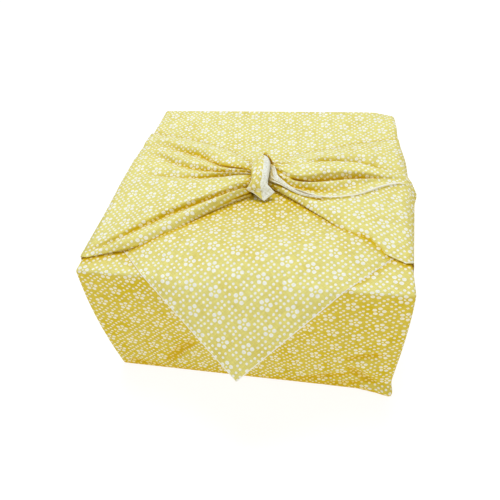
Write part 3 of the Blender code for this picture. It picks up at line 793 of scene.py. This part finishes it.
# The knot: strap with its pointed end, loop to the pale hem, short upper end
strap = {
    "thickness": 0.6,
    "left": ((-2.5, 17.0, 1.0), (-2.6, 18.0, 5.0), (-1.4, 18.4, 8.6), (-3.5, 11.8, 11.2),
        (-4.8, -1.2, 12.5),
             (-3.3, -10.4, 12.0), (-2.6, -15.3, 10.8), (-3.9, -19.3, 10.0), (-5.1, -22.3, 8.8),
             (-0.2, -22.9, 6.2), (3.9, -24.9, 4.4), (7.5, -26.7, 2.8)),
    "right": ((5.0, 17.0, 1.0), (4.6, 18.4, 5.0), (2.9, 18.8, 9.0), (7.6, 9.8, 11.4), (9.6, 0.4, 13.4),
              (10.0, -9.6, 13.2), (9.9, -14.6, 12.0), (9.9, -17.6, 10.4), (12.0, -19.2, 8.6),
              (15.0, -21.0, 6.2), (11.7, -23.8, 4.4), (8.2, -26.7, 2.8)),
    "proud": (0.3, 1.0, 1.2, 3.6, 4.6, 4.2, 3.4, 2.2, 1.2, 0.7, 0.4, 0.0),   # middle above the two edges
    "sharp": (0, 0, 0.3, 0, 0, 0, 0, 0.2, 0.7, 0.9, 0.3, 0),
    "pale": (0.75, 0.7, 0.6, 0.62, 0.66, 0.64, 0.62, 0.6, 0.58, 0.36, 0.3, 0.0),   # where the reverse starts
    "folds": (                 # share across, half width, depth of the painted fold shade, from and to along the strap
        (0.17, 0.035, 0.6, 5.5, 9.2), (0.31, 0.03, 0.45, 3.2, 7.0), (0.42, 0.03, 0.4, 6.0, 10.4),
        (0.02, 0.05, 0.5, 3.0, 11.0),
    ),
    "profile": (
        # share across, part of the middle's height
        (0.0, 0.0), (0.06, 0.5), (0.2, 0.86), (0.33, 0.98), (0.4, 0.84), (0.47, 0.98), (0.58, 0.96),
        (0.63, 0.8), (0.7, 0.86), (0.84, 0.74), (0.93, 0.5), (1.0, 0.0),
    ),
}


def makeStrap():
    left, right = (np.array(strap[side]) for side in ("left", "right"))
    along = np.linspace(0, len(left) - 1, 111)
    places = np.arange(len(left))
    left, right = (runThrough(places, rail, along, strap["sharp"]) for rail in (left, right))
    proud = runThrough(places, strap["proud"], along)
    shares = np.linspace(0, 1, 45)
    profile = np.array(strap["profile"])
    relief = runThrough(profile[:, 0], profile[:, 1], shares)
    points = left[:, None] + (right - left)[:, None] * shares[None, :, None]
    points[:, :, 2] += top + proud[:, None] * relief[None]
    arcs = lengthAlong(points, 0)
    width = np.linalg.norm(right - left, axis=1)
    cloth = np.stack([(shares[None] - 0.5) * width[:, None] + 40, -arcs], axis=2)
    edge = ((shares[None] < 0.05) | (shares[None] > 0.96)) * (along[:, None] > 7.6)
    # painted shade along the strap's folds
    deep = np.zeros(points.shape[:2])
    for share, half, amount, start, end in strap["folds"]:
        reach = np.clip(np.minimum(along - start, end - along) / 1.2, 0, 1)
        deep += amount * np.exp(-((shares[None] - share) / half) ** 2) * reach[:, None]
    marks = {"hemline": edge * 0.8, "paintedShade": deep}
    piece = makeSheet("knotStrap", points, cloth, (0, 0, 1), marks, strap["thickness"])
    columns = len(shares) - 1
    faces = piece.data.polygons
    starts = np.interp(along, places, strap["pale"])
    for number in range((len(along) - 1) * columns):
        if shares[number % columns] > starts[number // columns]:
            faces[number].material_index = 1
    settle(piece)
    return piece


knotStrap = makeStrap()

knotLoop = {
    "upper": ((4.0, 9.0, 7.0), (8.3, 5.1, 10.5), (11.9, 3.7, 11.0), (14.1, -2.4, 11.0),
        (15.9, -7.2, 10.6),
              (19.7, -10.8, 9.4), (24.8, -14.8, 8.0), (30.4, -18.9, 6.9), (37.6, -22.3, 6.6),
                  (48.0, -24.2, 6.3)),
    "lower": ((4.0, 3.0, 7.0), (7.4, 1.6, 9.0), (8.8, -5.0, 9.6), (9.4, -9.6, 9.2), (12.2, -11.8, 8.8),
              (17.7, -13.6, 7.8), (22.6, -16.2, 7.1), (27.8, -19.2, 6.6), (35.8, -23.0, 6.3),
                  (48.0, -24.9, 6.0)),
    # folds: share across, half width and depth of painted fold shade; the last key is a painted shade over the
    # whole ribbon
    "folds": ((0.3, 0.05, 0.75), (0.62, 0.05, 0.85), (0.82, 0.05, 0.6)),
    "crown": 0.9,
    "paintedShadeLevel": 0.0,
}


def makeRibbon(name, table, outside, pale, sheetRows=61, sheetColumns=31):
    upper = np.array(table["upper"], dtype=float)
    lower = np.array(table["lower"], dtype=float)
    along = np.linspace(0, len(upper) - 1, sheetRows)
    shares = np.linspace(0, 1, sheetColumns)
    first = runThrough(range(len(upper)), upper, along)
    second = runThrough(range(len(lower)), lower, along)
    points = first[:, None] + (second - first)[:, None] * shares[None, :, None]
    width = np.linalg.norm(second - first, axis=1)
    crown = np.sin(np.pi * shares)[None] * np.minimum(1, width / 8)[:, None] * table["crown"]
    fine = 0.25 * np.sin(shares * 19)[None] * np.minimum(1, width / 8)[:, None]
    points[:, :, 2] += top + crown + fine
    cloth = np.stack([lengthAlong(points, 1) + 60, lengthAlong(points, 0) + 20], axis=2)
    # painted shade: an even level over the ribbon plus painted fold lines
    paintedShadeLevel = np.full(points.shape[:2], table["paintedShadeLevel"])
    for share, half, amount in table.get("folds", ()):
        paintedShadeLevel += amount * np.exp(-((shares - share) / half) ** 2)
    piece = makeSheet(name, points, cloth, outside, {"paintedShade": paintedShadeLevel})
    if pale:
        for face in list(piece.data.polygons)[:(sheetRows - 1) * (sheetColumns - 1)]:
            face.material_index = 1
    settle(piece)
    return piece


knotLoopCloth = makeRibbon("knotLoop", knotLoop, (0, 0, 1), True)
upperEnd = {
    "upper": ((0.2, 19.6, 3.0), (0.8, 20.7, 8.5), (2.0, 21.2, 10.5), (4.0, 20.4, 11.4),
        (7.5, 13.4, 11.5),
              (10.9, 7.3, 10.8)),
    "lower": ((3.0, 17.4, 2.0), (1.6, 18.6, 7.5), (2.4, 17.8, 8.5), (3.4, 16.0, 9.2), (6.2, 10.8, 10.2),
              (9.2, 6.1, 9.8)),
    "crown": 0.5,
    "paintedShadeLevel": 0.75,
}
knotUpperEnd = makeRibbon("knotUpperEnd", upperEnd, (0, 0, 1), False, 25, 11)
heart = {                      # the turns inside the knot, seen only from the sides
    "upper": ((6.0, 16.5, 1.5), (9.5, 6.0, 3.0), (11.0, -5.0, 3.0), (10.0, -12.0, 1.6),
        (6.0, -17.5, 0.6)),
    "lower": ((-2.5, 16.5, 1.5), (-3.4, 6.0, 3.0), (-3.4, -5.0, 3.0), (-3.0, -12.0, 1.6),
        (-1.5, -17.5, 0.6)),
    "crown": 7.4,
    "paintedShadeLevel": 0.25,
}
knotHeart = makeRibbon("knotHeart", heart, (0, 0, 1), False, 49, 25)
print("knot made")


# Painted shade: how closed in, upright or near the wings and the knot each spot lies, for the darker, warmer
# yellow painted there
paintedShadeLook = {
    "rays": 40,
    "reach": 45.0,             # mm; folds further away than this don't count
    "closeness": 15.0,         # mm; the nearer they are, the more they count
    "fromFolds": (3.4, 6.2),   # share of painted shade where folds close a spot in, below and in the wings
    "fromSlope": (0.84, 0.6),  # share of painted shade where the cloth is upright, or turns to the front in a fold
    "fromLid": ((0.26, 3.0), (0.24, 12.0)),   # share and reach of painted shadow beside the wings and the knot
    "deepestBelow": 0.88,      # the deepest painted shade on the cloth below, short of a fold's
    "toneKept": 0.3,           # share of a valley's own painted shade under its drawn valley shade
    "fromKnot": (0.52, 42.0, (6.0, -22.0)),   # share, reach and middle of the painted shadow in front of the knot
    "lidLine": (0.42, 1.2),    # share and reach of the painted dark line right at their edges
}


def paintShade(under, over):
    pieces = under + over
    corners, faces = [], []
    for piece in pieces:
        shift = len(corners)
        corners += [v.co.copy() for v in piece.data.vertices]
        faces += [[shift + k for k in face.vertices] for face in piece.data.polygons]
    tree = BVHTree.FromPolygons(corners, faces)
    lid = BVHTree.FromPolygons(corners, faces[sum(len(p.data.polygons) for p in under):])
    count = paintedShadeLook["rays"]
    rays = []
    for k in range(count):     # cosine-weighted directions round +Z
        around = k * math.pi * (3 - math.sqrt(5))
        outward = math.sqrt((k + 0.5) / count)
        rays.append(Vector((outward * math.cos(around), outward * math.sin(around),
                math.sqrt(1 - outward ** 2))))
    for piece in pieces:
        mesh = piece.data
        drawn = np.zeros(len(mesh.vertices))
        mesh.attributes["paintedShade"].data.foreach_get("value", drawn)
        valleyShade = np.zeros(len(mesh.vertices))
        mesh.attributes["paintedValleyShade"].data.foreach_get("value", valleyShade)
        values = np.zeros(len(mesh.vertices))
        outer = len(mesh.vertices) // 2
        values[outer:] = 0.4   # a fixed painted shade on the inner side; Solidify adds the inner side after the outer one
        # painted shade from how closed in each spot is by the folds round it
        for number, vertex in enumerate(mesh.vertices[:outer]):
            normal = vertex.normal
            turn = normal.to_track_quat("Z", "Y")
            start = vertex.co + normal * 0.35 * mm
            hidden = 0.0
            for ray in rays:
                towards = turn @ ray
                if towards.z > 0:
                    away = tree.ray_cast(start, towards, paintedShadeLook["reach"] * mm)[3]
                    if away is not None:
                        hidden += math.exp(-away / mm / paintedShadeLook["closeness"])
            # painted shade where the cloth stands upright, or turns to the front or a side in a fold
            slope = (0.72 - normal.z) / 0.62
            if piece in over:
                slope = max(-normal.y - 0.3, normal.x - 0.25, -normal.x - 0.5) / 0.72
            slope = min(1.0, max(0.0, slope))
            closed = max(0.0, hidden / count - (0.05 if piece in over else 0.03))
            fromFolds = paintedShadeLook["fromFolds"][piece in over]
            values[number] = fromFolds * closed + paintedShadeLook["fromSlope"][piece in over] * slope
            # painted shadow beside the wings and the knot, a painted dark line right at their edges, and
            # painted shadow in front of the knot
            if piece in under and normal.z > 0.3 and vertex.co.y < 0:
                gap = lid.find_nearest(vertex.co, 0.08)[3]
                if gap is not None:
                    values[number] += sum(share * math.exp(-gap / mm / fade) for share,
                            fade in paintedShadeLook["fromLid"])
                    drawn[number] += paintedShadeLook["lidLine"][0] * math.exp(-gap / mm / paintedShadeLook["lidLine"][1])
                share, fade, middle = paintedShadeLook["fromKnot"]
                away = math.hypot(vertex.co.x / mm - middle[0], vertex.co.y / mm - middle[1])
                values[number] += share * math.exp(-(away / fade) ** 2)
        links = np.array([edge.vertices[:] for edge in mesh.edges])
        for _ in range(2):     # even out the grain of so few rays
            total = np.zeros_like(values)
            near = np.zeros_like(values)
            for a, b in ((0, 1), (1, 0)):
                np.add.at(total, links[:, a], values[links[:, b]])
                np.add.at(near, links[:, a], 1)
            values = 0.5 * values + 0.5 * total / np.maximum(near, 1)
        deepest = 1.0 if piece in over else paintedShadeLook["deepestBelow"]
        withValleyShade = np.maximum(values, paintedShadeLook["toneKept"] * values + valleyShade)
        values = np.clip(withValleyShade, 0, deepest) + drawn
        mesh.attributes["paintedShade"].data.foreach_set("value", values)


# paint shade into the colour of every piece
paintShade([clothRoundBox, hangingCorner],
          [leftWingCloth, rightWingCloth, knotStrap, knotLoopCloth, knotUpperEnd, knotHeart])
print("depth in the folds marked")


# Floor, light and camera
studio = {
    "floor": (0.3, 0.3, 0.3),
    "floorGlow": 0.83,
    "skyStrength": 0.46,
    "keyPlace": (-0.1, 0.42, 1.47),
    "keySize": 0.7,
    "keyPower": 11.4,
    "fillPlace": (0.1, -1.2, 0.55),
    "fillSize": 1.2,
    "fillPower": 3.1,
    "fillColour": (1.0, 0.985, 0.95),
}


def makeFloor():
    bpy.ops.object.select_all(action="DESELECT")
    bpy.ops.mesh.primitive_plane_add(size=6)
    floor = bpy.context.object
    floor.name = "studioFloor"
    finish = bpy.data.materials.new("floorPaper")
    finish.use_nodes = True
    shader = finish.node_tree.nodes["Principled BSDF"]
    shader.inputs["Base Color"].default_value = (*studio["floor"], 1)
    shader.inputs["Roughness"].default_value = 0.9
    shader.inputs["Specular IOR Level"].default_value = 0.1
    shader.inputs["Emission Color"].default_value = (1, 1, 1, 1)
    shader.inputs["Emission Strength"].default_value = studio["floorGlow"]
    floor.data.materials.append(finish)


def softLamp(name, place, size, power, colour, aim=(0, 0, 0.08)):
    lamp = bpy.data.lights.new(name, "AREA")
    lamp.shape = "DISK"
    lamp.size = size
    lamp.energy = power
    lamp.color = colour
    made = bpy.data.objects.new(name, lamp)
    bpy.context.scene.collection.objects.link(made)
    made.location = place
    away = np.array(aim) - np.array(place)
    yaw = math.atan2(away[0], -away[1])
    pitch = math.acos(-away[2] / np.linalg.norm(away))
    made.rotation_euler = (pitch, 0, yaw + math.pi)


def makeStudio():
    world = bpy.data.worlds.new("softSky")
    world.use_nodes = True
    sky = world.node_tree.nodes["Background"]
    sky.inputs["Color"].default_value = (1.0, 1.0, 1.0, 1)
    sky.inputs["Strength"].default_value = studio["skyStrength"]
    bpy.context.scene.world = world
    softLamp("overheadLamp", studio["keyPlace"], studio["keySize"], studio["keyPower"], (1, 1, 1))
    softLamp("frontLamp", studio["fillPlace"], studio["fillSize"], studio["fillPower"],
            studio["fillColour"])
    camera = bpy.data.cameras.new("photoCamera")
    camera.lens = 31.55
    camera.sensor_width = 36
    camera.clip_start = 0.01
    seen = bpy.data.objects.new("photoCamera", camera)
    seen.location = (0.05296, -0.26297, 0.31501)
    seen.rotation_euler = (0.7689, 0.0811, 0.1624)
    bpy.context.scene.collection.objects.link(seen)
    bpy.context.scene.camera = seen
    bpy.context.scene.view_settings.view_transform = "Standard"


makeFloor()
makeStudio()
print("floor, light and camera made")
